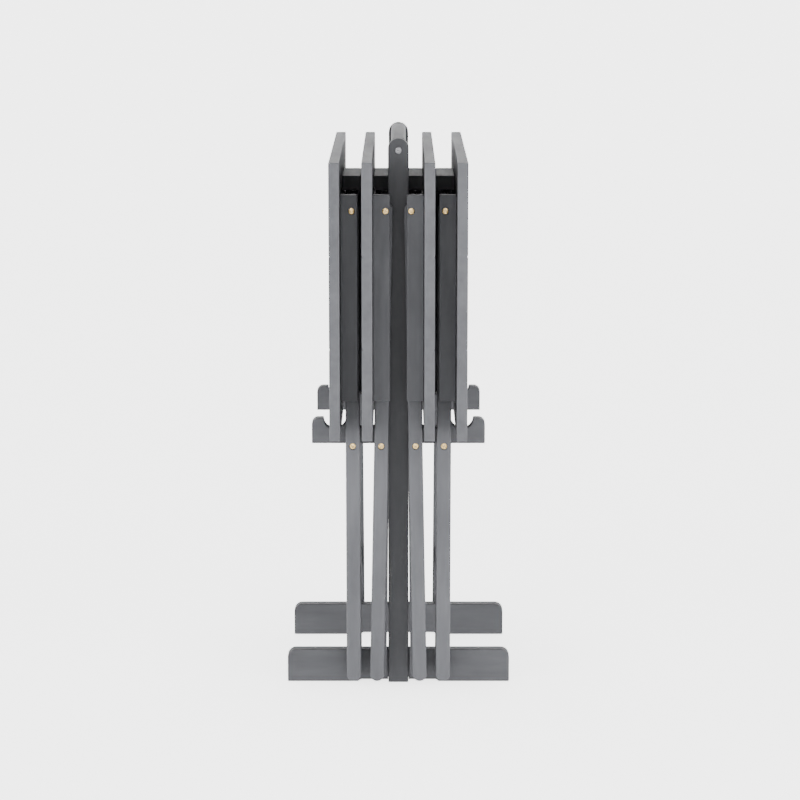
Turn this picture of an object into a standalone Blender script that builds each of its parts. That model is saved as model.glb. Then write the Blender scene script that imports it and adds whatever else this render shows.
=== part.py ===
"""Four folding snack tables stowed on a carrying stand, in painted wood.

Metres, +Z up. X runs across the stand, -Y is the end the trays are seen from, and the feet stand on Z = 0.
Each tray hangs on edge: its tabletop's lower edge sits in the notches of the two hook boards, its legs hang
folded beside the tabletop, and its leg frames pass outside the stand's posts in Y.
"""

import math

import bmesh
import bpy
from mathutils import Vector

# ---- Driving dimensions -------------------------------------------------------------------------
GAP = 0.0003                 # between pieces that touch
RUNNING_GAP = 0.0005         # between pieces that turn against each other

TOP_LENGTH = 0.483           # tabletop, along Y
TOP_WIDTH = 0.3865           # tabletop, upright here, so along Z
TOP_THICKNESS = 0.0147
TOP_BOTTOM = 0.3775          # height of the tabletop's lower edge in its notch
TOP_CENTRES = {"outer": 0.0882, "inner": 0.0432}   # from the stand's middle to each tabletop's middle
GROOVE_WIDTH = 0.0030
GROOVE_DEPTH = 0.0016
BOARDS_PER_TOP = 3

CLEAT_INSET = 0.054          # from the tabletop's end to the cleat
CLEAT_THICKNESS = 0.015
CLEAT_DEPTH = 0.024          # how far it stands off the tabletop
CLEAT_BOTTOM, CLEAT_TOP = 0.424, 0.714

LEG_THICKNESS = 0.015
LEG_WIDTH = 0.020
HINGE_HEIGHT = 0.6915
PIVOT_HEIGHT = 0.356
FOOT_HEIGHT = 0.0215         # middle of the legs' round lower ends
INNER_LEG_TOP = 0.6955       # middle of the inner legs' round upper ends
# Distance from the stand's middle of each leg's (top, bottom), for the outer and the inner trays
OUTER_LEG_ENDS = {"outer": (0.0650, 0.0640), "inner": (0.0180, 0.0306)}
INNER_LEG_ENDS = {"outer": (0.0665, 0.0625), "inner": (0.0215, 0.0271)}
TOP_DOWEL_RADIUS = 0.005
TOP_DOWEL_TENON = 0.009
STRETCHER_HEIGHT = 0.120
STRETCHER_SIZE = (0.012, 0.026)

BLOCK_SIZE = (0.0268, 0.110, 0.0205)
BLOCK_BOTTOM = 0.7065

SCREW_HEAD_RADIUS = 0.0046
SCREW_HEAD_LENGTH = 0.0022
SCREW_SHANK_RADIUS = 0.0022
SCREW_RECESS = 0.0012        # how far a brass head sits below the wood

STAND_DEPTH = 0.278          # between the outer faces of the two posts
POST_WIDTH = 0.029
POST_THICKNESS = 0.018
POST_TOP = 0.788
LAP_SET_BACK = 0.005         # feet and hook boards stand this far behind the posts' faces
FOOT_SIZE = (0.321, 0.018, 0.048)
FOOT_RELIEF = (0.110, 0.003)
HOOK_BOARD_LENGTH = 0.247
HOOK_BOARD_BOTTOM, HOOK_BOARD_TOP = 0.3527, 0.3893
NOTCH_RADIUS = 0.016
NOTCH_OFFSET = 0.0025        # a notch's middle lies this far outside the tabletop's middle
HANDLE_WIDTH = 0.021
HANDLE_BOTTOM, HANDLE_TOP = 0.758, 0.7872   # at the bar's two ends
HANDLE_RISE = 0.004          # how much higher the bar is at its middle
HANDLE_STATIONS = 12
HANDLE_SCREW_HEIGHT = 0.771
HANDLE_SCREW_RECESS = 0.0004
HANDLE_SHANK = 0.034
CROSS_BOARD_SHANK = 0.012

ARC_STEPS = 8                # segments in a quarter turn


# ---- Scene and materials ------------------------------------------------------------------------
def clear_scene():
    for obj in list(bpy.data.objects):
        bpy.data.objects.remove(obj, do_unlink=True)


def finish(name, colour, roughness, metallic=0.0):
    material = bpy.data.materials.new(name)
    material.use_nodes = True
    shader = material.node_tree.nodes["Principled BSDF"]
    shader.inputs["Base Color"].default_value = (*colour, 1.0)
    shader.inputs["Roughness"].default_value = roughness
    shader.inputs["Metallic"].default_value = metallic
    material.diffuse_color = (*colour, 1.0)
    return material


# ---- Shape helpers ------------------------------------------------------------------------------
def add_object(name, mesh, material, parent=None):
    obj = bpy.data.objects.new(name, mesh)
    bpy.context.scene.collection.objects.link(obj)
    own = material.copy()
    own.name = name
    mesh.materials.append(own)
    if parent:
        obj.parent = parent
        obj.matrix_parent_inverse = parent.matrix_world.inverted()
    return obj


def close_up(mesh_builder, name):
    """Turns a bmesh into a mesh with its faces pointing outward."""
    bmesh.ops.recalc_face_normals(mesh_builder, faces=mesh_builder.faces)
    mesh = bpy.data.meshes.new(name)
    mesh_builder.to_mesh(mesh)
    mesh_builder.free()
    return mesh


def add_plate(shape, outline, y0, y1):
    """Adds a solid with an (x, z) outline, from y0 to y1."""
    front = [shape.verts.new((x, y0, z)) for x, z in outline]
    back = [shape.verts.new((x, y1, z)) for x, z in outline]
    shape.faces.new(front)
    shape.faces.new(back[::-1])
    for i in range(len(outline)):
        j = (i + 1) % len(outline)
        shape.faces.new((front[i], back[i], back[j], front[j]))


def plate(name, outline, y0, y1, material, parent=None):
    shape = bmesh.new()
    add_plate(shape, outline, min(y0, y1), max(y0, y1))
    return add_object(name, close_up(shape, name), material, parent)


def block(name, low, high, material, parent=None):
    outline = [(low[0], low[2]), (high[0], low[2]), (high[0], high[2]), (low[0], high[2])]
    return plate(name, outline, low[1], high[1], material, parent)


def add_rod(shape, x, z, y0, y1, radius, sides=24):
    """Adds a round bar that runs along Y."""
    turn = [2 * math.pi * i / sides for i in range(sides)]
    outline = [(x + radius * math.cos(a), z + radius * math.sin(a)) for a in turn]
    add_plate(shape, outline, min(y0, y1), max(y0, y1))


def ease_edges(obj, width, segments=2):
    """Rounds the sharp edges of an object, as sanding does before painting."""
    bevel = obj.modifiers.new("eased edges", "BEVEL")
    bevel.width = width
    bevel.segments = segments
    bevel.limit_method = "ANGLE"
    bevel.angle_limit = math.radians(35)
    bevel.harden_normals = False


def cut(obj, cutter_shape, name):
    """Subtracts a hidden cutter, built as a bmesh, from an object."""
    mesh = close_up(cutter_shape, name)
    cutter = bpy.data.objects.new(name, mesh)
    bpy.context.scene.collection.objects.link(cutter)
    cutter.hide_render = True
    cutter.display_type = "WIRE"
    boolean = obj.modifiers.new(name, "BOOLEAN")
    boolean.operation = "DIFFERENCE"
    boolean.solver = "EXACT"
    boolean.object = cutter


def arc(cx, cz, radius, start_deg, end_deg, steps=ARC_STEPS):
    span = end_deg - start_deg
    angles = [math.radians(start_deg + span * i / steps) for i in range(steps + 1)]
    return [(cx + radius * math.cos(a), cz + radius * math.sin(a)) for a in angles]


def leg_outline(top, bottom, width):
    """A straight slat with half-round ends, between the middles of its ends."""
    run = Vector((top[0] - bottom[0], top[1] - bottom[1]))
    lean = math.degrees(math.atan2(run.y, run.x)) - 90
    half = width / 2
    upper = arc(top[0], top[1], half, lean, lean + 180, 2 * ARC_STEPS)
    lower = arc(bottom[0], bottom[1], half, lean + 180, lean + 360, 2 * ARC_STEPS)
    return upper + lower


# ---- Screws: a head and a shank along Y, and the hole that takes them ---------------------------
def screw(name, x, z, face_y, inward, recess, shank_length, material, parent):
    """inward is +1 or -1, the direction in Y in which the screw is driven from face_y."""
    shape = bmesh.new()
    head_radius = SCREW_HEAD_RADIUS
    head_y = face_y + inward * recess
    neck_y = head_y + inward * SCREW_HEAD_LENGTH
    tip_y = neck_y + inward * shank_length
    rings = [(head_y, head_radius * 0.86), (head_y + inward * 0.0006, head_radius), (neck_y, head_radius),
             (neck_y, SCREW_SHANK_RADIUS), (tip_y, SCREW_SHANK_RADIUS)]
    sides = 16
    loops = []
    for y, radius in rings:
        turn = [2 * math.pi * i / sides for i in range(sides)]
        loops.append([shape.verts.new((x + radius * math.cos(a), y, z + radius * math.sin(a))) for a in turn])
    shape.faces.new(loops[0])
    shape.faces.new(loops[-1][::-1])
    for near, far in zip(loops, loops[1:]):
        for i in range(sides):
            j = (i + 1) % sides
            shape.faces.new((near[i], far[i], far[j], near[j]))
    return add_object(name, close_up(shape, name), material, parent)


def add_screw_hole(shape, x, z, face_y, inward, recess, shank_length):
    """A counterbore and a pilot hole around a screw, with the touching gap all round."""
    floor_y = face_y + inward * (recess + SCREW_HEAD_LENGTH + GAP)
    add_rod(shape, x, z, face_y - inward * 0.004, floor_y, SCREW_HEAD_RADIUS + GAP, 16)
    return floor_y + inward * (shank_length + GAP)


def bore(obj, name, x, z, y0, y1, radius, sides=16):
    shape = bmesh.new()
    add_rod(shape, x, z, y0, y1, radius, sides)
    cut(obj, shape, name)


# ---- The stand ----------------------------------------------------------------------------------
def foot_outline():
    """A foot with rounded upper corners and a shallow relief under its middle."""
    half, height = FOOT_SIZE[0] / 2, FOOT_SIZE[2]
    relief_half, relief = FOOT_RELIEF[0] / 2, FOOT_RELIEF[1]
    corner = 0.012
    return (
        [(-half, 0.0), (-relief_half - relief, 0.0), (-relief_half, relief), (relief_half, relief),
         (relief_half + relief, 0.0), (half, 0.0)]
        + arc(half - corner, height - corner, corner, 0, 90)
        + arc(-half + corner, height - corner, corner, 90, 180)
    )


def notch_middles():
    """The X of the two notches on the +X side, from the middle outward."""
    return [TOP_CENTRES["inner"] + NOTCH_OFFSET, TOP_CENTRES["outer"] + NOTCH_OFFSET]


def hook_board_outline():
    """A board whose top edge has four half-round notches, leaving a hook at each end."""
    half = HOOK_BOARD_LENGTH / 2
    corner = 0.009
    right = arc(half - corner, HOOK_BOARD_TOP - corner, corner, 0, 90)
    for middle in reversed(notch_middles()):
        right += arc(middle, HOOK_BOARD_TOP, NOTCH_RADIUS, 0, -180, 2 * ARC_STEPS)
    left = [(-x, z) for x, z in reversed(right)]
    return [(-half, HOOK_BOARD_BOTTOM), (half, HOOK_BOARD_BOTTOM)] + right + left


def post_outline():
    half = POST_WIDTH / 2
    return [(-half, 0.0), (half, 0.0)] + arc(0, POST_TOP - half, half, 0, 180, 2 * ARC_STEPS)


def lap_slot(obj, name, low_z, high_z, side):
    """Cuts the housing in a cross board that a post passes through."""
    half = POST_WIDTH / 2 + GAP
    outer = side * (STAND_DEPTH / 2 + 0.01)
    inner = side * (STAND_DEPTH / 2 - POST_THICKNESS - GAP)
    shape = bmesh.new()
    add_plate(shape, [(-half, low_z), (half, low_z), (half, high_z), (-half, high_z)],
              min(outer, inner), max(outer, inner))
    cut(obj, shape, name)


def handle_section(lift):
    """The bar's section at one station: a slab with well-rounded edges on top and eased ones below."""
    half, above, below = HANDLE_WIDTH / 2, 0.006, 0.003
    points = arc(half - below, HANDLE_BOTTOM + below, below, -90, 0, 3)
    points += arc(half - above, HANDLE_TOP - above, above, 0, 90, 6)
    points += arc(-half + above, HANDLE_TOP - above, above, 90, 180, 6)
    points += arc(-half + below, HANDLE_BOTTOM + below, below, 180, 270, 3)
    return [(x, z + lift) for x, z in points]


def handle_shape(reach):
    """The grip bar, which rises in a shallow curve from each post to its middle."""
    shape = bmesh.new()
    rings = []
    for i in range(HANDLE_STATIONS + 1):
        y = -reach + 2 * reach * i / HANDLE_STATIONS
        lift = HANDLE_RISE * (1 - (y / reach) ** 2)
        rings.append([shape.verts.new((x, y, z)) for x, z in handle_section(lift)])
    shape.faces.new(rings[0])
    shape.faces.new(rings[-1][::-1])
    count = len(rings[0])
    for near, far in zip(rings, rings[1:]):
        for i in range(count):
            j = (i + 1) % count
            shape.faces.new((near[i], far[i], far[j], near[j]))
    return shape


def make_stand(wood, painted_screw, root):
    for end, side in (("front", -1), ("rear", 1)):
        post_face = side * STAND_DEPTH / 2
        post_back = post_face - side * POST_THICKNESS
        board_face = post_face - side * LAP_SET_BACK
        board_back = board_face - side * FOOT_SIZE[1]

        foot = plate(f"{end}_foot", foot_outline(), board_face, board_back, wood, root)
        ease_edges(foot, 0.0015)
        lap_slot(foot, f"{end} foot housing", -0.01, FOOT_SIZE[2] + 0.01, side)

        board = plate(f"{end}_hook_board", hook_board_outline(), board_face, board_back, wood, root)
        ease_edges(board, 0.0012)
        lap_slot(board, f"{end} hook board housing", HOOK_BOARD_BOTTOM - 0.01, HOOK_BOARD_TOP + 0.01, side)

        post = plate(f"{end}_post", post_outline(), post_face, post_back, wood, root)
        ease_edges(post, 0.0015)

        # One screw holds the handle bar, and one from behind holds each cross board to the post.
        inward = -side
        cutter = bmesh.new()
        tip = add_screw_hole(cutter, 0, HANDLE_SCREW_HEIGHT, post_face, inward, HANDLE_SCREW_RECESS,
                             HANDLE_SHANK)
        cut(post, cutter, f"{end} handle counterbore")
        bore(post, f"{end} handle screw hole", 0, HANDLE_SCREW_HEIGHT, post_face, tip,
             SCREW_SHANK_RADIUS + GAP)
        screw(f"{end}_handle_screw", 0, HANDLE_SCREW_HEIGHT, post_face, inward, HANDLE_SCREW_RECESS,
              HANDLE_SHANK, painted_screw, root)
        middle = (HOOK_BOARD_BOTTOM + HOOK_BOARD_TOP) / 2
        for owner, z in ((foot, FOOT_SIZE[2] / 2), (board, middle)):
            bore(owner, f"{owner.name} screw hole", 0, z, board_back - side * 0.01, post_back + side * 0.002,
                 SCREW_SHANK_RADIUS + GAP)
            bore(post, f"{owner.name} pilot hole", 0, z, board_back - side * 0.01,
                 board_back + side * (CROSS_BOARD_SHANK + 2 * GAP), SCREW_SHANK_RADIUS + GAP)

    reach = STAND_DEPTH / 2 - POST_THICKNESS - GAP
    bar = add_object("handle_bar", close_up(handle_shape(reach), "handle_bar"), wood, root)
    for side in (-1, 1):
        bore(bar, f"handle pilot hole {side}", 0, HANDLE_SCREW_HEIGHT, side * (reach + 0.01),
             side * (reach - 0.022), SCREW_SHANK_RADIUS + GAP)


# ---- One tray -----------------------------------------------------------------------------------
def tabletop_outline(inner_face, outward):
    """The tabletop's section: a slab with V-grooves between its boards on the face turned outward."""
    outer_face = inner_face + outward * TOP_THICKNESS
    top = TOP_BOTTOM + TOP_WIDTH
    points = [(inner_face, top), (inner_face, TOP_BOTTOM), (outer_face, TOP_BOTTOM)]
    for i in range(1, BOARDS_PER_TOP):
        z = TOP_BOTTOM + TOP_WIDTH * i / BOARDS_PER_TOP
        points += [(outer_face, z - GROOVE_WIDTH / 2), (outer_face - outward * GROOVE_DEPTH, z),
                   (outer_face, z + GROOVE_WIDTH / 2)]
    points.append((outer_face, top))
    return points


def leg_middle(ends, top_z, z):
    """Distance from the stand's middle of a leg's centre line at height z."""
    top, bottom = ends
    return bottom + (top - bottom) * (z - FOOT_HEIGHT) / (top_z - FOOT_HEIGHT)


def empty_at(name, location, parent):
    empty = bpy.data.objects.new(name, None)
    bpy.context.scene.collection.objects.link(empty)
    empty.location = location
    bpy.context.view_layer.update()
    if parent:
        empty.parent = parent
        empty.matrix_parent_inverse = parent.matrix_world.inverted()
    bpy.context.view_layer.update()
    return empty


def make_top(name, place, outward, wood, brass, hinge_x, joint):
    """The tabletop with its two cleats, its block and the front screw its legs hinge on."""
    inner_face = outward * (TOP_CENTRES[place] - TOP_THICKNESS / 2)
    under = inner_face - outward * GAP
    half = TOP_LENGTH / 2
    top = plate(f"{name}_tabletop", tabletop_outline(inner_face, outward), -half, half, wood, joint)
    ease_edges(top, 0.0012)

    def on_underside(label, depth, y0, y1, z0, z1):
        xs = sorted((under, under - outward * depth))
        piece = block(label, (xs[0], min(y0, y1), z0), (xs[1], max(y0, y1), z1), wood, joint)
        ease_edges(piece, 0.0012)
        return piece

    for end, side in (("front", -1), ("rear", 1)):
        face = side * (half - CLEAT_INSET)
        back = face - side * CLEAT_THICKNESS
        cleat = on_underside(f"{name}_{end}_cleat", CLEAT_DEPTH, face, back, CLEAT_BOTTOM, CLEAT_TOP)
        shank = CLEAT_THICKNESS + 0.008
        cutter = bmesh.new()
        add_screw_hole(cutter, hinge_x, HINGE_HEIGHT, face, -side, SCREW_RECESS, shank)
        cut(cleat, cutter, f"{name} {end} hinge counterbore")
        bore(cleat, f"{name} {end} hinge hole", hinge_x, HINGE_HEIGHT, face, back - side * 0.004,
             SCREW_SHANK_RADIUS + GAP)
        if end == "front":
            screw(f"{name}_hinge_screw", hinge_x, HINGE_HEIGHT, face, -side, SCREW_RECESS, shank,
                  brass, joint)

    on_underside(f"{name}_spacer_block", BLOCK_SIZE[0], -BLOCK_SIZE[1] / 2, BLOCK_SIZE[1] / 2,
                 BLOCK_BOTTOM, BLOCK_BOTTOM + BLOCK_SIZE[2])


def make_outer_legs(name, place, outward, wood, brass, joint):
    """The leg frame that the tabletop hinges on, with the front screw that the inner legs turn on."""
    top, bottom = (outward * x for x in OUTER_LEG_ENDS[place])
    pivot_x = outward * leg_middle(OUTER_LEG_ENDS[place], HINGE_HEIGHT, PIVOT_HEIGHT)
    for end, side in (("front", -1), ("rear", 1)):
        face = side * (TOP_LENGTH / 2 - CLEAT_INSET - CLEAT_THICKNESS - RUNNING_GAP)
        back = face - side * LEG_THICKNESS
        outline = leg_outline((top, HINGE_HEIGHT), (bottom, FOOT_HEIGHT), LEG_WIDTH)
        leg = plate(f"{name}_{end}_outer_leg", outline, face, back, wood, joint)
        ease_edges(leg, 0.0015)
        bore(leg, f"{name} {end} leg hinge hole", top, HINGE_HEIGHT, face + side * 0.004,
             face - side * 0.0115, SCREW_SHANK_RADIUS + GAP)
        shank = LEG_THICKNESS + 0.007
        cutter = bmesh.new()
        add_screw_hole(cutter, pivot_x, PIVOT_HEIGHT, face, -side, SCREW_RECESS, shank)
        cut(leg, cutter, f"{name} {end} pivot counterbore")
        bore(leg, f"{name} {end} pivot hole", pivot_x, PIVOT_HEIGHT, face, back - side * 0.004,
             SCREW_SHANK_RADIUS + GAP)
        if end == "front":
            screw(f"{name}_pivot_screw", pivot_x, PIVOT_HEIGHT, face, -side, SCREW_RECESS, shank,
                  brass, joint)


def make_inner_legs(name, place, outward, wood, pivot_x, joint):
    """The leg frame inside the outer legs, joined by a top dowel and a lower stretcher."""
    top, bottom = (outward * x for x in INNER_LEG_ENDS[place])
    reach = 0.0
    for end, side in (("front", -1), ("rear", 1)):
        face = side * (TOP_LENGTH / 2 - CLEAT_INSET - CLEAT_THICKNESS - LEG_THICKNESS - 2 * RUNNING_GAP)
        back = face - side * LEG_THICKNESS
        reach = abs(back)
        outline = leg_outline((top, INNER_LEG_TOP), (bottom, FOOT_HEIGHT), LEG_WIDTH)
        leg = plate(f"{name}_{end}_inner_leg", outline, face, back, wood, joint)
        ease_edges(leg, 0.0015)
        bore(leg, f"{name} {end} inner pivot hole", pivot_x, PIVOT_HEIGHT, face + side * 0.004,
             face - side * 0.0115, SCREW_SHANK_RADIUS + GAP)
        bore(leg, f"{name} {end} dowel hole", top, INNER_LEG_TOP, back - side * 0.004,
             back + side * (TOP_DOWEL_TENON + GAP), TOP_DOWEL_RADIUS + GAP, 24)
    shape = bmesh.new()
    add_rod(shape, top, INNER_LEG_TOP, -reach - TOP_DOWEL_TENON, reach + TOP_DOWEL_TENON, TOP_DOWEL_RADIUS)
    label = f"{name}_top_dowel"
    add_object(label, close_up(shape, label), wood, joint)
    x = outward * leg_middle(INNER_LEG_ENDS[place], INNER_LEG_TOP, STRETCHER_HEIGHT)
    half_x, half_z = STRETCHER_SIZE[0] / 2, STRETCHER_SIZE[1] / 2
    rail = block(f"{name}_lower_stretcher", (x - half_x, -reach + GAP, STRETCHER_HEIGHT - half_z),
                 (x + half_x, reach - GAP, STRETCHER_HEIGHT + half_z), wood, joint)
    ease_edges(rail, 0.0015)


def make_tray(name, place, outward, wood, brass, root):
    hinge_x = outward * OUTER_LEG_ENDS[place][0]
    pivot_x = outward * leg_middle(OUTER_LEG_ENDS[place], HINGE_HEIGHT, PIVOT_HEIGHT)
    lift = empty_at(f"{name} lift", (0, 0, 0), root)
    hinge = empty_at(f"{name} tabletop hinge", (hinge_x, 0, HINGE_HEIGHT), lift)
    pivot = empty_at(f"{name} leg pivot", (pivot_x, 0, PIVOT_HEIGHT), lift)
    make_top(name, place, outward, wood, brass, hinge_x, hinge)
    make_outer_legs(name, place, outward, wood, brass, lift)
    make_inner_legs(name, place, outward, wood, pivot_x, pivot)


def smooth_round_pieces():
    for obj in bpy.data.objects:
        if obj.type == "MESH" and not obj.hide_render:
            obj.data.shade_smooth()
            obj.data.set_sharp_from_angle(angle=math.radians(30))


clear_scene()
painted_wood = finish("painted wood", (0.115, 0.115, 0.125), 0.55)
brass_plate = finish("brass", (0.66, 0.47, 0.24), 0.32, 1.0)
painted_screw_head = finish("painted screw", (0.105, 0.105, 0.115), 0.5)
stand_root = empty_at("stand", (0, 0, 0), None)
make_stand(painted_wood, painted_screw_head, stand_root)
for side_name, outward_sign in (("left", -1), ("right", 1)):
    for place_name in ("outer", "inner"):
        make_tray(f"{place_name}_{side_name}", place_name, outward_sign, painted_wood, brass_plate,
                  stand_root)
smooth_round_pieces()
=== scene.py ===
# %% [markdown]
# # Folding snack tables on a carrying stand
#
# The object is a set of folding tables in grey painted wood. Each table hangs on edge in the notches of a
# stand with two posts, two feet and a grip bar. The solid model already holds every board, leg, dowel and
# front screw at its real size, and this script never moves them. It gives them their finish, adds the small
# pieces that the solid model leaves out, and sets up the studio.
#
# The first cell loads the solid model as a fixed frame and notes its size.

import math

import bmesh
import bpy
from mathutils import Matrix, Vector


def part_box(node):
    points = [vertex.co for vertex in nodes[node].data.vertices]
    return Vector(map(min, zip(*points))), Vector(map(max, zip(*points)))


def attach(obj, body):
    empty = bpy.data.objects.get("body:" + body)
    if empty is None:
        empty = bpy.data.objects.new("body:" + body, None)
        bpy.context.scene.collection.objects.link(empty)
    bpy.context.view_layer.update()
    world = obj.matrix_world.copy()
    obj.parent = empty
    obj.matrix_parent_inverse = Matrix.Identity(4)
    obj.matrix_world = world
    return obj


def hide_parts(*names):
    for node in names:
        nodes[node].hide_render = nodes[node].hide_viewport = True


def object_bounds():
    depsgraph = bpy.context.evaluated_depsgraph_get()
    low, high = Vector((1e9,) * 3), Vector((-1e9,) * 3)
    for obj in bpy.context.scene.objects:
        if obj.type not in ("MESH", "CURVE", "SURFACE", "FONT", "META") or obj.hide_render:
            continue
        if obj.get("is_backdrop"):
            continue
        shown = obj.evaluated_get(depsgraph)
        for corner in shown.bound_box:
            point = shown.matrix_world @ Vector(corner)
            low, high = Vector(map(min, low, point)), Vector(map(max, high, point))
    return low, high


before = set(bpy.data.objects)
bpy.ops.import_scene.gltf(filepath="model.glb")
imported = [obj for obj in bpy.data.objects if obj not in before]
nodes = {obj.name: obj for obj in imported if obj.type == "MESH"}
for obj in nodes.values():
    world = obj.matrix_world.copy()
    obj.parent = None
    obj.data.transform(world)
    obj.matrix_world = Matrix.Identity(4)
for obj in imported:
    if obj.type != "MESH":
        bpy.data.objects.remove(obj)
cad_low, cad_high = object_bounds()
print("object size in metres:", [round(v, 3) for v in cad_high - cad_low])

# %% [markdown]
# ## Two node groups for the paint
#
# Satin paint on wood is never one flat colour. The wood's grain shows through it as faint lines, the brush
# leaves a slight unevenness, and the edges wear to a paler tone. A painter could draw these on an image, but
# nodes keep them sharp at any distance and need no unwrapping. Every wooden piece uses the same two effects,
# so each is a node group, built once and placed in each material with its own numbers.
#
# The first group is the grain. It stretches a noise along the length of the board, so its input is a
# direction: a scale that is small along the grain and large across it.


# %% Helpers that keep the node code short
def group_named(name, inputs, outputs):
    """Makes an empty shader node group with the sockets given as (name, type, default)."""
    group = bpy.data.node_groups.new(name, "ShaderNodeTree")
    for label, kind, default in inputs:
        socket = group.interface.new_socket(name=label, in_out="INPUT", socket_type=kind)
        socket.default_value = default
    for label, kind in outputs:
        group.interface.new_socket(name=label, in_out="OUTPUT", socket_type=kind)
    return group, group.nodes.new("NodeGroupInput"), group.nodes.new("NodeGroupOutput")


def math_node(tree, operation, first, second):
    """A Math node. Either operand may be a number or a socket."""
    node = tree.nodes.new("ShaderNodeMath")
    node.operation = operation
    for index, value in enumerate((first, second)):
        if isinstance(value, (int, float)):
            node.inputs[index].default_value = value
        else:
            tree.links.new(value, node.inputs[index])
    return node.outputs[0]


def map_range(tree, value, from_low, from_high, to_low, to_high):
    """A Map Range node that clamps its result."""
    node = tree.nodes.new("ShaderNodeMapRange")
    tree.links.new(value, node.inputs["Value"])
    limits = {"From Min": from_low, "From Max": from_high, "To Min": to_low, "To Max": to_high}
    for label, number in limits.items():
        node.inputs[label].default_value = number
    return node.outputs["Result"]


def noise(tree, vector, scale, detail, roughness=0.55):
    """A Noise texture that reads the given vector."""
    node = tree.nodes.new("ShaderNodeTexNoise")
    node.inputs["Scale"].default_value = scale
    node.inputs["Detail"].default_value = detail
    node.inputs["Roughness"].default_value = roughness
    tree.links.new(vector, node.inputs["Vector"])
    return node.outputs["Fac"]


# %% The grain group
LINE_SCALE = 26.0      # long grain lines
PORE_SCALE = 95.0      # fine pores between them
DRIFT_SCALE = 7.0      # broad, slow changes of tone
BRUSH_SCALE = 420.0    # the brush's own unevenness
LINE_SHARE = 0.62      # how much of the grain is lines; the rest is pores
TONE_GRAIN_SHARE = 0.6
HEIGHT_GRAIN_SHARE = 0.8


def weighted(tree, first, second, share):
    """share of the first socket's value added to the rest of the second's."""
    return math_node(tree, "ADD", math_node(tree, "MULTIPLY", first, share),
                     math_node(tree, "MULTIPLY", second, 1 - share))


def make_grain_group():
    """Tone and height of painted wood: long grain lines, broad drift and a fine brushed unevenness."""
    group, inside, outside = group_named(
        "painted grain",
        [("Vector", "NodeSocketVector", (0.0, 0.0, 0.0)), ("Stretch", "NodeSocketVector", (1.0, 1.0, 1.0))],
        [("Tone", "NodeSocketFloat"), ("Height", "NodeSocketFloat")],
    )
    along = group.nodes.new("ShaderNodeVectorMath")
    along.operation = "MULTIPLY"
    group.links.new(inside.outputs["Vector"], along.inputs[0])
    group.links.new(inside.outputs["Stretch"], along.inputs[1])
    lines = noise(group, along.outputs[0], LINE_SCALE, detail=6.0, roughness=0.62)
    pores = noise(group, along.outputs[0], PORE_SCALE, detail=3.0)
    drift = noise(group, inside.outputs["Vector"], DRIFT_SCALE, detail=2.0)
    brushed = noise(group, inside.outputs["Vector"], BRUSH_SCALE, detail=3.0)
    grain = weighted(group, lines, pores, LINE_SHARE)
    group.links.new(weighted(group, grain, drift, TONE_GRAIN_SHARE), outside.inputs["Tone"])
    group.links.new(weighted(group, grain, brushed, HEIGHT_GRAIN_SHARE), outside.inputs["Height"])
    return group


grain_group = make_grain_group()
print("grain group nodes:", len(grain_group.nodes))

# %% [markdown]
# The second group finds edges. A Bevel node gives the normal that a rounded edge would have; where it differs
# from the true normal, an edge is near. A little noise breaks the mask up, because hands and shelves rub an
# edge unevenly. Painted furniture wears pale on its corners, so the mask later lightens the paint there.


# %% The edge-wear group
EDGE_STARTS, EDGE_FULL = 0.995, 0.86    # agreement of the true and the rounded normal
PATCH_LOW, PATCH_HIGH = 0.35, 0.7
LEAST_WEAR = 0.25


def make_edge_group():
    """A mask from 0 on a flat face to 1 on a worn edge."""
    group, inside, outside = group_named(
        "edge wear",
        [("Vector", "NodeSocketVector", (0.0, 0.0, 0.0)), ("Radius", "NodeSocketFloat", 0.002),
         ("Patchiness", "NodeSocketFloat", 60.0)],
        [("Mask", "NodeSocketFloat")],
    )
    rounded = group.nodes.new("ShaderNodeBevel")
    rounded.samples = 4
    group.links.new(inside.outputs["Radius"], rounded.inputs["Radius"])
    surface = group.nodes.new("ShaderNodeNewGeometry")
    facing = group.nodes.new("ShaderNodeVectorMath")
    facing.operation = "DOT_PRODUCT"
    group.links.new(rounded.outputs["Normal"], facing.inputs[0])
    group.links.new(surface.outputs["Normal"], facing.inputs[1])
    edge = map_range(group, facing.outputs["Value"], EDGE_STARTS, EDGE_FULL, 0.0, 1.0)
    patches = group.nodes.new("ShaderNodeTexNoise")
    group.links.new(inside.outputs["Vector"], patches.inputs["Vector"])
    group.links.new(inside.outputs["Patchiness"], patches.inputs["Scale"])
    broken = map_range(group, patches.outputs["Fac"], PATCH_LOW, PATCH_HIGH, LEAST_WEAR, 1.0)
    group.links.new(math_node(group, "MULTIPLY", edge, broken), outside.inputs["Mask"])
    return group


edge_group = make_edge_group()
print("edge group nodes:", len(edge_group.nodes))

# %% [markdown]
# ## The painted wood
#
# The paint is a dull satin grey with a faint blue cast. One way is a single flat grey on everything, but then
# neighbouring boards melt into each other. Here the Principled shader stays in the material, and the groups
# feed its colour, roughness and bump. Wood grain runs along a board, so the material comes in three
# directions. Each family of pieces also gets its own tone, which is painted light and shade: the pieces share
# one paint, and the tones darken the families that sit in the shade between the boards and lighten the
# tabletops a little. The gloss is low: a glossier paint would turn every upward face pale at this flat
# viewing angle.

# %% Paint materials
GRAIN_STRETCH = 0.16
ALONG = {"x": (GRAIN_STRETCH, 1.0, 1.0), "y": (1.0, GRAIN_STRETCH, 1.0), "z": (1.0, 1.0, GRAIN_STRETCH)}
PAINT = (0.054, 0.055, 0.060)
DARK_GRAIN, PALE_GRAIN, WORN = 0.80, 1.18, 1.75    # times the paint's own colour
WORN_SHARE = 0.55
EDGE_RADIUS = 0.0022
PAINT_GLOSS = 0.14
BUMP_STRENGTH, BUMP_DEPTH = 0.28, 0.0005


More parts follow.
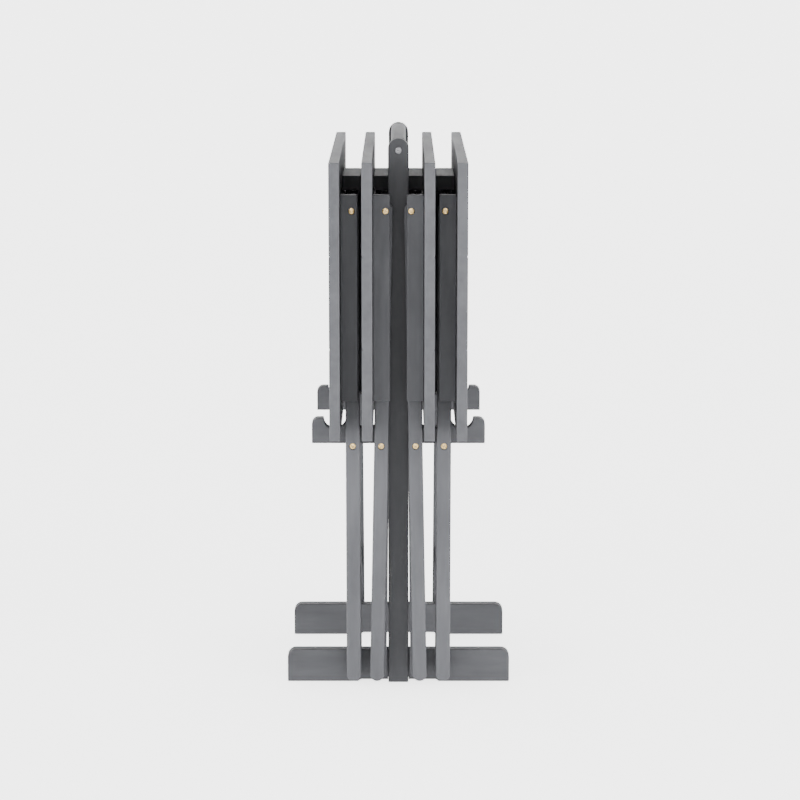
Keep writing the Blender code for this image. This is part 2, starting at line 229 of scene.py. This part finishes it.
def place_group(tree, group, **values):
    """Places a node group with its own values."""
    node = tree.nodes.new("ShaderNodeGroup")
    node.node_tree = group
    for label, value in values.items():
        node.inputs[label].default_value = value
    return node


def mixed_colour(tree, factor, first, second):
    """A Mix node on colours. Each colour may be a tuple or a socket."""
    node = tree.nodes.new("ShaderNodeMix")
    node.data_type = "RGBA"
    tree.links.new(factor, node.inputs["Factor"])
    for label, value in (("A", first), ("B", second)):
        socket = [s for s in node.inputs if s.name == label and s.type == "RGBA"][0]
        if isinstance(value, tuple):
            socket.default_value = (*value, 1.0)
        else:
            tree.links.new(value, socket)
    return [s for s in node.outputs if s.type == "RGBA"][0]


def painted_wood(name, direction, tone=1.0):
    """Satin grey paint over wood whose grain runs along the given axis, scaled by tone as painted light and
    shade.
    """
    material = bpy.data.materials.new(name)
    material.use_nodes = True
    tree = material.node_tree
    shader = tree.nodes["Principled BSDF"]
    place = tree.nodes.new("ShaderNodeTexCoord").outputs["Object"]
    grain = place_group(tree, grain_group, Stretch=ALONG[direction])
    wear = place_group(tree, edge_group, Radius=EDGE_RADIUS)
    tree.links.new(place, grain.inputs["Vector"])
    tree.links.new(place, wear.inputs["Vector"])
    # tone scales the paint as painted light and shade for the piece's family.
    base = tuple(channel * tone for channel in PAINT)
    dark = tuple(channel * DARK_GRAIN for channel in base)
    pale = tuple(channel * PALE_GRAIN for channel in base)
    worn = tuple(channel * WORN for channel in base)
    grained = mixed_colour(tree, map_range(tree, grain.outputs["Tone"], 0.36, 0.64, 0.0, 1.0), dark, pale)
    edged = mixed_colour(tree, math_node(tree, "MULTIPLY", wear.outputs["Mask"], WORN_SHARE), grained, worn)
    tree.links.new(edged, shader.inputs["Base Color"])
    tree.links.new(map_range(tree, grain.outputs["Height"], 0.3, 0.7, 0.66, 0.52), shader.inputs["Roughness"])
    shader.inputs["Specular IOR Level"].default_value = PAINT_GLOSS
    bump = tree.nodes.new("ShaderNodeBump")
    bump.inputs["Strength"].default_value = BUMP_STRENGTH
    bump.inputs["Distance"].default_value = BUMP_DEPTH
    tree.links.new(grain.outputs["Height"], bump.inputs["Height"])
    tree.links.new(bump.outputs["Normal"], shader.inputs["Normal"])
    return material


# %% [markdown]
# ## Brass-plated and painted screws
#
# The tables hinge and cross on brass-plated screws, which have gone slightly brown. The stand's own screws
# were painted over with the wood. A metal's colour is the colour of its reflections, so plain yellow looks
# like plastic. A darker brass with browner spots and uneven roughness looks like plating that was handled.


# %% Screw materials
SPOT_SCALE = 900.0


def metal(name, colour, stain, roughness, metallic):
    """A finish for screws: a colour with stained spots, rougher where it is stained."""
    material = bpy.data.materials.new(name)
    material.use_nodes = True
    tree = material.node_tree
    shader = tree.nodes["Principled BSDF"]
    place = tree.nodes.new("ShaderNodeTexCoord").outputs["Object"]
    spots = noise(tree, place, SPOT_SCALE, detail=3.0)
    tree.links.new(mixed_colour(tree, map_range(tree, spots, 0.42, 0.62, 0.0, 1.0), colour, stain),
                   shader.inputs["Base Color"])
    tree.links.new(map_range(tree, spots, 0.3, 0.7, roughness - 0.06, roughness + 0.12),
                   shader.inputs["Roughness"])
    shader.inputs["Metallic"].default_value = metallic
    return material


brass = metal("brass_plate", (0.50, 0.37, 0.17), (0.27, 0.18, 0.08), 0.26, 1.0)
painted_steel = metal("painted_screw_steel", (0.17, 0.17, 0.18), (0.12, 0.12, 0.13), 0.34, 0.0)
print("screw finishes:", brass.name, painted_steel.name)

# %% [markdown]
# ## Dressing the solid pieces
#
# Each wooden piece takes the paint whose grain runs along its length. That could be listed piece by piece,
# but the longest side of its box says which way the grain runs, so a loop does it and misses none. The
# boards' solid shapes are right already, grooves and notches included, so only their material changes.

# %% Assign the paint
# Painted light and shade on one shared paint: tones below 1 darken the blocks, posts, feet, hook boards,
# cleats and inner legs where shade falls between the boards, and 1.05 lightens the tabletops' lit edges.
FAMILY_LIGHT_AND_SHADE = {"tabletop": 1.05, "cleat": 0.80, "outer_leg": 1.0, "inner_leg": 0.85, "post": 0.54,
                "foot": 0.72, "hook_board": 0.84, "block": 0.40, "handle_bar": 1.0}
paints = {}


def paint_for(node_name):
    """The paint of a piece's family, scaled by its painted light and shade, with the grain along the piece's
    longest side.
    """
    low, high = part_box(node_name)
    size = [high[i] - low[i] for i in range(3)]
    direction = "xyz"[size.index(max(size))]
    family = next((key for key in FAMILY_LIGHT_AND_SHADE if node_name.endswith(key)), "small pieces")
    key = f"paint {family} {direction}"
    if key not in paints:
        paints[key] = painted_wood(key, direction, FAMILY_LIGHT_AND_SHADE.get(family, 0.95))
    return paints[key]


def dress(obj, material):
    """Gives an object one material."""
    obj.data.materials.clear()
    obj.data.materials.append(material)


wooden = [name for name in nodes if not name.endswith("screw")]
for name in wooden:
    dress(nodes[name], paint_for(name))
print("wooden pieces:", len(wooden), "paints:", len(paints))

# %% [markdown]
# ## Screws with driver recesses
#
# The solid model's screws are plain discs on shanks, and only the front ones are there. A real furniture
# screw has a domed head with a cross recess, and a table set like this has the same screws at its far end.
# The head could be a squashed sphere, but a profile turned round its axis gives the true rim and shank, as a
# lathe would. The recess is two tapered bars cut away by a Boolean. One function makes them all, so a screw
# is a place, a direction and a finish.

# %% The screw maker
HEAD_RADIUS = 0.0046
HEAD_LENGTH = 0.0022
SHANK_RADIUS = 0.0021
TURN_STEPS = 32
DOME = 0.0008
POINT_LENGTH, POINT_RADIUS = 0.002, 0.0006
TABLE_SHANK, STAND_SHANK = 0.0215, 0.0115
RECESS_LONG, RECESS_WIDE = HEAD_RADIUS * 0.62, HEAD_RADIUS * 0.13    # half sizes of one arm
RECESS_TOP, RECESS_BOTTOM = (-0.0012, 1.15), (0.0017, 0.45)          # (depth, size there)
RECESS_TURN = 20        # degrees, so that the cross isn't square to the boards
TOUCH_GAP = 0.0003
SHARP_ANGLE = math.radians(35)


def turned(profile, steps=TURN_STEPS):
    """A closed bmesh turned round Y from (radius, y) points, the first and last of them on the axis."""
    shape = bmesh.new()
    rings = []
    for radius, y in profile[1:-1]:
        angles = [2 * math.pi * i / steps for i in range(steps)]
        rings.append([shape.verts.new((radius * math.cos(a), y, radius * math.sin(a))) for a in angles])
    tips = [shape.verts.new((0, profile[0][1], 0)), shape.verts.new((0, profile[-1][1], 0))]
    for i in range(steps):
        j = (i + 1) % steps
        shape.faces.new((tips[0], rings[0][i], rings[0][j]))
        shape.faces.new((tips[1], rings[-1][j], rings[-1][i]))
        for near, far in zip(rings, rings[1:]):
            shape.faces.new((near[i], far[i], far[j], near[j]))
    bmesh.ops.recalc_face_normals(shape, faces=shape.faces)
    return shape


def mesh_from(shape, name):
    """Turns a bmesh into a mesh."""
    mesh = bpy.data.meshes.new(name)
    shape.to_mesh(mesh)
    shape.free()
    return mesh


def tapered_bar(shape, turn_degrees):
    """One arm of the cross recess: a bar that narrows towards its bottom."""
    made = []
    for y, times in (RECESS_TOP, RECESS_BOTTOM):
        for x, z in ((-1, -1), (1, -1), (1, 1), (-1, 1)):
            made.append(shape.verts.new((x * RECESS_LONG * times, y, z * RECESS_WIDE * times)))
    for face in ((0, 1, 2, 3), (7, 6, 5, 4), (0, 4, 5, 1), (1, 5, 6, 2), (2, 6, 7, 3), (3, 7, 4, 0)):
        shape.faces.new([made[i] for i in face])
    turn = Matrix.Rotation(math.radians(turn_degrees), 3, "Y")
    bmesh.ops.rotate(shape, verts=made, cent=(0, 0, 0), matrix=turn)


def screw_mesh(name, shank_length):
    """A head at y = 0 facing -Y, with a cross recess, and a shank running to +Y."""
    rise = [(HEAD_RADIUS * math.cos(a), DOME * (1 - math.sin(a))) for a in
            (math.radians(degrees) for degrees in (75, 60, 45, 30, 15, 0))]
    tip = HEAD_LENGTH + shank_length
    profile = [(0, 0.0), *rise, (HEAD_RADIUS, HEAD_LENGTH), (SHANK_RADIUS, HEAD_LENGTH),
               (SHANK_RADIUS, tip - POINT_LENGTH), (POINT_RADIUS, tip), (0, tip)]
    head = bpy.data.objects.new(name, mesh_from(turned(profile), name))
    bpy.context.scene.collection.objects.link(head)
    for turn_degrees in (RECESS_TURN, RECESS_TURN + 90):
        cutter_shape = bmesh.new()
        tapered_bar(cutter_shape, turn_degrees)
        bmesh.ops.recalc_face_normals(cutter_shape, faces=cutter_shape.faces)
        cutter = bpy.data.objects.new("cross cutter", mesh_from(cutter_shape, "cross cutter"))
        bpy.context.scene.collection.objects.link(cutter)
        recess = head.modifiers.new("recess", "BOOLEAN")
        recess.operation = "DIFFERENCE"
        recess.solver = "EXACT"
        recess.object = cutter
        evaluated = head.evaluated_get(bpy.context.evaluated_depsgraph_get())
        carved = bpy.data.meshes.new_from_object(evaluated)
        head.modifiers.clear()
        head.data = carved
        bpy.data.objects.remove(cutter)
    mesh = head.data
    bpy.data.objects.remove(head)
    mesh.shade_smooth()
    mesh.set_sharp_from_angle(angle=SHARP_ANGLE)
    return mesh


long_screw = screw_mesh("table screw", TABLE_SHANK)
short_screw = screw_mesh("stand screw", STAND_SHANK)
print("faces in one screw:", len(long_screw.polygons))


# %% Place a screw
def add_screw(name, mesh, head_at, inward, finish, body):
    """inward is +1 for a screw driven towards +Y and -1 for one driven towards -Y."""
    data = mesh.copy()
    if inward < 0:
        data.transform(Matrix.Rotation(math.pi, 4, "Z"))
    data.transform(Matrix.Translation(Vector(head_at)))
    screw = bpy.data.objects.new(name, data)
    bpy.context.scene.collection.objects.link(screw)
    dress(screw, finish)
    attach(screw, body)
    return screw


# %% [markdown]
# ## Where the table screws go
#
# Each table has four screws: at each end, one that its top hinges on and one that its legs cross on. The
# front ones replace the plain screws of the solid model, and their twins go into the empty holes at the rear.
# Their places could be typed in, but reading them from the solid screws' boxes keeps the models together.

# %% Screws of the tables
trays = [f"{place}_{side}" for side in ("left", "right") for place in ("outer", "inner")]


def bodies_of(tray):
    """The bodies of a table's top, outer legs and inner legs."""
    if tray.startswith("outer"):
        return f"{tray}_top", f"{tray}_outer_legs", f"{tray}_inner_legs"
    return f"{tray}_tray", f"{tray}_tray", f"{tray}_inner_legs"


for tray in trays:
    top_body, outer_body, _ = bodies_of(tray)
    for kind, body in (("hinge_screw", top_body), ("pivot_screw", outer_body)):
        plain = f"{tray}_{kind}"
        low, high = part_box(plain)
        x, z = (low[0] + high[0]) / 2, (low[2] + high[2]) / 2
        front = add_screw(f"{tray}_front_{kind}", long_screw, (x, low[1], z), 1, brass, body)
        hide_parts(plain)
        add_screw(f"{tray}_rear_{kind}", long_screw, (x, -low[1], z), -1, brass, body)
print("table screws:", 4 * len(trays))

# %% [markdown]
# ## Screws of the stand
#
# One screw through each post holds the grip bar, and one from behind holds each cross board to its post. They
# were painted with the stand. The same meshes serve again, turned round for the ones driven outward.

# %% Screws of the stand
for end, inward in (("front", 1), ("rear", -1)):
    plain = f"{end}_handle_screw"
    low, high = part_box(plain)
    x, z = (low[0] + high[0]) / 2, (low[2] + high[2]) / 2
    face = low[1] if inward > 0 else high[1]
    handle_screw = add_screw(f"{end}_grip_screw", long_screw, (x, face, z), inward, painted_steel, "stand")
    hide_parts(plain)
    for board in (f"{end}_foot", f"{end}_hook_board"):
        low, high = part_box(board)
        back = high[1] if inward > 0 else low[1]
        z = (low[2] + high[2]) / 2
        head_at = (0, back + inward * (HEAD_LENGTH + TOUCH_GAP), z)
        add_screw(f"{board}_screw", short_screw, head_at, -inward, painted_steel, "stand")
        print(f"{board}: screw head at y {head_at[1]:.4f}, z {z:.3f}")

# %% [markdown]
# ## Catch hooks under the tops
#
# When a table is opened, the dowel between the tops of its inner legs snaps into two hooks under the
# tabletop. Stowed, the hooks face inward, out of sight behind the cleats. Each is a small block with a round
# mouth a little wider than the dowel. A Boolean could bore the mouth, but drawing the whole outline and
# pushing it through the block's width gives cleaner faces. A Bevel modifier eases the edges as sanding would.

# %% Catch hooks
CATCH_HEIGHT = 0.030
CATCH_DEPTH = 0.0165
CATCH_WIDTH = 0.018
CATCH_APART = 0.160
MOUTH_SET_IN = 0.006    # from the hook's face to the middle of its mouth
MOUTH_PLAY = 0.0004     # how much wider its radius is than the dowel's
MOUTH_STEPS = 16
EASED_EDGE = 0.0008


def catch_outline(under, outward, middle, mouth):
    """(x, z) points of one hook. under is the X of the tabletop's inner face."""
    face = under - outward * CATCH_DEPTH
    centre = under - outward * (CATCH_DEPTH - MOUTH_SET_IN)
    angles = [math.pi * (0.5 - i / MOUTH_STEPS) for i in range(MOUTH_STEPS + 1)]
    return [
        (under, middle - CATCH_HEIGHT / 2), (under, middle + CATCH_HEIGHT / 2),
        (face, middle + CATCH_HEIGHT / 2), (face, middle + mouth),
        *[(centre + outward * mouth * math.cos(a), middle + mouth * math.sin(a)) for a in angles],
        (face, middle - mouth), (face, middle - CATCH_HEIGHT / 2),
    ]


def add_catch(tray, number, y, outward):
    """One hook, as far from the hinge as the dowel lies once the table is open."""
    low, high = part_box(f"{tray}_tabletop")
    dowel_low, dowel_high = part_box(f"{tray}_top_dowel")
    hinge_low, hinge_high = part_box(f"{tray}_hinge_screw")
    hinge_height = (hinge_low[2] + hinge_high[2]) / 2
    under = (low[0] if outward > 0 else high[0]) - outward * TOUCH_GAP
    middle = low[2] + (high[2] - hinge_height)
    mouth = (dowel_high[2] - dowel_low[2]) / 2 + MOUTH_PLAY
    shape = bmesh.new()
    outline = catch_outline(under, outward, middle, mouth)
    front = [shape.verts.new((x, y - CATCH_WIDTH / 2, z)) for x, z in outline]
    back = [shape.verts.new((x, y + CATCH_WIDTH / 2, z)) for x, z in outline]
    shape.faces.new(front)
    shape.faces.new(back[::-1])
    for i in range(len(outline)):
        j = (i + 1) % len(outline)
        shape.faces.new((front[i], back[i], back[j], front[j]))
    bmesh.ops.recalc_face_normals(shape, faces=shape.faces)
    name = f"{tray}_catch_hook_{number}"
    hook = bpy.data.objects.new(name, mesh_from(shape, name))
    bpy.context.scene.collection.objects.link(hook)
    bevel = hook.modifiers.new("eased edges", "BEVEL")
    bevel.width = EASED_EDGE
    bevel.segments = 2
    bevel.limit_method = "ANGLE"
    bevel.angle_limit = SHARP_ANGLE
    # The hooks take the cleats' paint, whose darker tone is painted shade.
    dress(hook, paints["paint cleat z"])
    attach(hook, bodies_of(tray)[0])
    print(f"{name}: middle at z {middle:.4f}, mouth radius {mouth:.4f}")


for tray in trays:
    outward = -1 if tray.endswith("left") else 1
    for number, y in enumerate((-CATCH_APART / 2, CATCH_APART / 2), start=1):
        add_catch(tray, number, y, outward)

# %% [markdown]
# ## The studio
#
# A plain pale floor curves up into a pale wall on every side, so no horizon shows from any angle. A studio
# does this with a paper sweep behind the object; here one outline is turned all the way round instead, far
# enough out to leave room for the raised tables. The floor glows faintly, as a lit table does, which
# keeps it paler than the paint without a lamp strong enough to bleach the boards' upper edges.

# %% Floor and wall
FLOOR_GLOW = 2.6
FLOOR_WHITE = 0.93
DUST = (0.98, 0.98, 0.975)
DUST_SCALE = 1.5
FLOOR_RADIUS = 7.0
SWEEP_RADIUS = 14.0
WALL_TOP = 16.0
SWEEP_STEPS = 48
ROUND_STEPS = 72


def pale_surface(name, value):
    """A matt near-white whose tone drifts very slightly, as painted plaster does."""
    material = bpy.data.materials.new(name)
    material.use_nodes = True
    tree = material.node_tree
    shader = tree.nodes["Principled BSDF"]
    place = tree.nodes.new("ShaderNodeTexCoord").outputs["Object"]
    drift = map_range(tree, noise(tree, place, DUST_SCALE, detail=3.0), 0.3, 0.7, 0.0, 1.0)
    clean, dusty = (value, value, value), tuple(value * channel for channel in DUST)
    tree.links.new(mixed_colour(tree, drift, clean, dusty), shader.inputs["Base Color"])
    shader.inputs["Roughness"].default_value = 0.9
    shader.inputs["Specular IOR Level"].default_value = 0.1
    shader.inputs["Emission Color"].default_value = (1.0, 1.0, 1.0, 1.0)
    shader.inputs["Emission Strength"].default_value = FLOOR_GLOW
    return material


def make_sweep():
    """A round floor whose rim curves up into a wall."""
    section = [(FLOOR_RADIUS, 0.0)]
    for i in range(1, SWEEP_STEPS + 1):
        a = math.pi / 2 * i / SWEEP_STEPS
        section.append((FLOOR_RADIUS + SWEEP_RADIUS * math.sin(a), SWEEP_RADIUS * (1 - math.cos(a))))
    section.append((FLOOR_RADIUS + SWEEP_RADIUS, WALL_TOP))
    angles = [2 * math.pi * i / ROUND_STEPS for i in range(ROUND_STEPS)]
    shape = bmesh.new()
    rings = [[shape.verts.new((r * math.cos(a), r * math.sin(a), z)) for a in angles] for r, z in section]
    shape.faces.new(rings[0])
    for near, far in zip(rings, rings[1:]):
        for i in range(ROUND_STEPS):
            j = (i + 1) % ROUND_STEPS
            shape.faces.new((near[i], far[i], far[j], near[j]))
    sweep = bpy.data.objects.new("studio_sweep", mesh_from(shape, "studio_sweep"))
    bpy.context.scene.collection.objects.link(sweep)
    sweep.data.shade_smooth()
    dress(sweep, pale_surface("studio_white", FLOOR_WHITE))
    sweep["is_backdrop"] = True
    return sweep


sweep = make_sweep()
print("faces in the sweep:", len(sweep.data.polygons))

# %% [markdown]
# ## Lights
#
# The room itself gives most of the light. Three panels add shape: one in front, above the camera, and a
# taller one on each side. Panels are broad, so their shadows are soft, where small spot lamps would put glints
# on the paint and black gaps between the boards. There is none overhead, since the boards' upper edges are
# seen at so flat an angle that they turn pale quickly.


# %% Lights
ROOM_LIGHT = 0.08


def add_panel(name, location, target, size, watts):
    """A large soft light panel aimed at a point."""
    lamp = bpy.data.lights.new(name, "AREA")
    lamp.shape = "RECTANGLE"
    lamp.size, lamp.size_y = size
    lamp.energy = watts
    obj = bpy.data.objects.new(name, lamp)
    bpy.context.scene.collection.objects.link(obj)
    obj.location = location
    obj.rotation_euler = (Vector(target) - Vector(location)).to_track_quat("-Z", "Y").to_euler()
    return obj


middle = (cad_low + cad_high) / 2
panels = [
    add_panel("front panel", (0.0, -4.2, 1.9), middle, (2.4, 1.4), 38),
    add_panel("left panel", (-2.6, -2.2, 1.2), middle, (1.2, 2.0), 34),
    add_panel("right panel", (2.6, -2.2, 1.2), middle, (1.2, 2.0), 34),
]
print("watts of panel light:", sum(panel.data.energy for panel in panels))

world = bpy.data.worlds.new("pale room")
world.use_nodes = True
world.node_tree.nodes["Background"].inputs["Color"].default_value = (1.0, 1.0, 1.0, 1.0)
world.node_tree.nodes["Background"].inputs["Strength"].default_value = ROOM_LIGHT
bpy.context.scene.world = world

# %% [markdown]
# ## The camera
#
# The object is seen end-on from a little above with a long lens. A shorter lens from nearer would spread the
# boards apart and show more of their sides, so the distance matters as much as the lens. The camera tips down
# to look at the object's middle and needs no shift.

# %% Camera
CAMERA_PLACE = (0.0023, -3.848, 1.122)
CAMERA_TIP = 10.767     # degrees below level
CAMERA_LENS = 119.6     # millimetres, on a sensor 36 wide

camera_data = bpy.data.cameras.new("camera")
camera_data.sensor_width = 36.0
camera_data.lens = CAMERA_LENS
camera_data.clip_end = 100.0
camera = bpy.data.objects.new("camera", camera_data)
bpy.context.scene.collection.objects.link(camera)
camera.location = CAMERA_PLACE
camera.rotation_euler = (math.radians(90 - CAMERA_TIP), 0.0, 0.0)
bpy.context.scene.camera = camera
print("camera distance in metres:", round((Vector(CAMERA_PLACE) - middle).length, 2))

# %% [markdown]
# ## Check the size
#
# The dressed object must fill the same box as the solid model. It could be judged by eye, but a screw
# standing proud by a millimetre wouldn't show, so both boxes are measured and written out to compare.

# %% Sizes
low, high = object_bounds()
print("visual size in metres:", [round(v, 3) for v in high - low])
